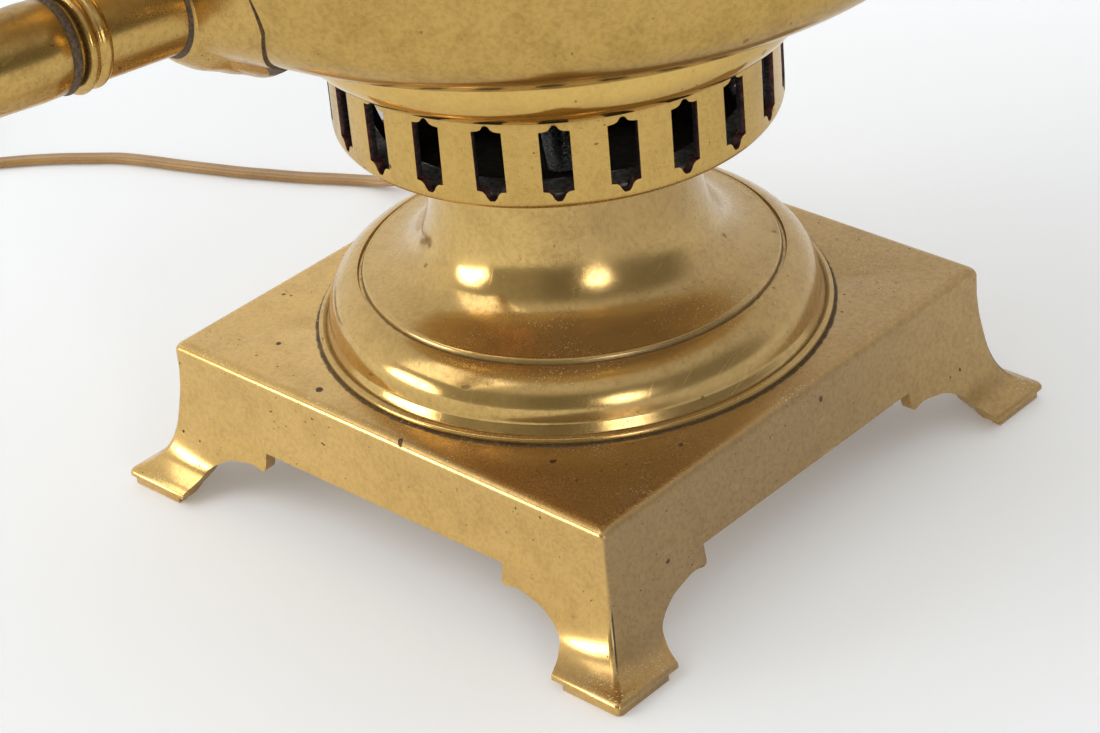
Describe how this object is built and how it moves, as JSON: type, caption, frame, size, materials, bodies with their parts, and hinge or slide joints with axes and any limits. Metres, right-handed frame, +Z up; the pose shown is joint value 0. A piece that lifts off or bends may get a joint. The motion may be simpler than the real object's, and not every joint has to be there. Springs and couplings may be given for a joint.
{
  "type": "table lamp",
  "caption": "Table lamp made from a brass urn with a tap and side handles, on a pierced ring, turned pedestal and square bracket-footed plinth, with a card shade.",
  "frame": {"origin": "on the surface the lamp stands on, at the axis of the turned pedestal and urn, which is the middle of the lamp's footprint with its lead left out", "axes": "+Z up along the lamp's axis; the plinth's sides are parallel to X and Y; the tap points 7 degrees past -Y towards -X; the lead leaves the -X side"},
  "size_m": [0.6131, 0.42, 0.7127],
  "materials": {
    "brass": "aged polished brass, mottled brown patina in the hollows",
    "steel": "zinc plated steel, dull",
    "grey_metal": "dark grey heat-dulled sheet",
    "soot_black": "blackened iron, dry",
    "dark_wood": "turned dark wood, waxed",
    "dark_plastic": "dark brown moulded plastic",
    "brown_plastic": "brown moulded plug",
    "bulb_metal": "thin bright metal cap",
    "bulb_glass": "pearl glass",
    "shade_card": "cream card lined in white",
    "flex": "clear gold-brown twin flex",
    "blade_brass": "bright pressed brass blades"
  },
  "bodies": {
    "lamp": {"plinth": "brass", "base_washer": "steel", "base_nut": "steel", "pedestal": "brass", "vent_ring": "brass", "ring_floor": "grey_metal", "heat_disc": "soot_black", "threaded_rod": "soot_black", "body_collar": "brass", "urn_body": "brass", "spigot_boss": "brass", "tap_tube": "brass", "tap_body": "brass", "handle_bracket_right": "brass", "handle_bracket_left": "brass", "handle_grip_right": "dark_wood", "handle_grip_left": "dark_wood", "handle_pin_right": "brass", "handle_pin_left": "brass", "lid": "brass", "lid_knob_front": "brass", "lid_knob_back": "brass", "crown": "brass", "vase_cap": "brass", "riser_tube": "brass", "harp_saddle": "brass", "socket_cap": "brass", "socket_shell": "brass", "socket_liner": "dark_plastic", "bulb_base": "bulb_metal", "bulb_glass": "bulb_glass", "harp": "brass", "harp_ferrule_right": "brass", "harp_ferrule_left": "brass", "cord_bushing": "dark_plastic", "cord_run": "flex", "cord_coil": "flex", "cord_tail": "flex", "coil_tie": "dark_plastic", "plug_body": "brown_plastic", "plug_blade_a": "blade_brass", "plug_blade_b": "blade_brass"},
    "tap_plug": {"tap_key": "brass"},
    "switch": {"switch_knob": "dark_plastic"},
    "shade_group": {"shade": "shade_card", "shade_bottom_wire": "steel", "shade_spider": "steel"},
    "finial_nut": {"finial": "brass"}
  },
  "joints": [
    {"name": "tap_key_turn", "type": "hinge", "parent": "lamp", "child": "tap_plug", "pos_m": [-0.02191, -0.17841, 0.17182], "axis": [0.0064, 0.0519, 0.9986], "range_deg": [0, 90]},
    {"name": "switch_turn", "type": "hinge", "parent": "lamp", "child": "switch", "pos_m": [0.01414, -0.01414, 0.4861], "axis": [0.7071, -0.7071, 0], "continuous": true},
    {"name": "shade_turn", "type": "hinge", "parent": "lamp", "child": "shade_group", "pos_m": [0, 0, 0.6854], "axis": [0, 0, 1], "continuous": true},
    {"name": "finial_turn", "type": "hinge", "parent": "lamp", "child": "finial_nut", "pos_m": [0, 0, 0.69], "axis": [0, 0, 1], "continuous": true}
  ]
}
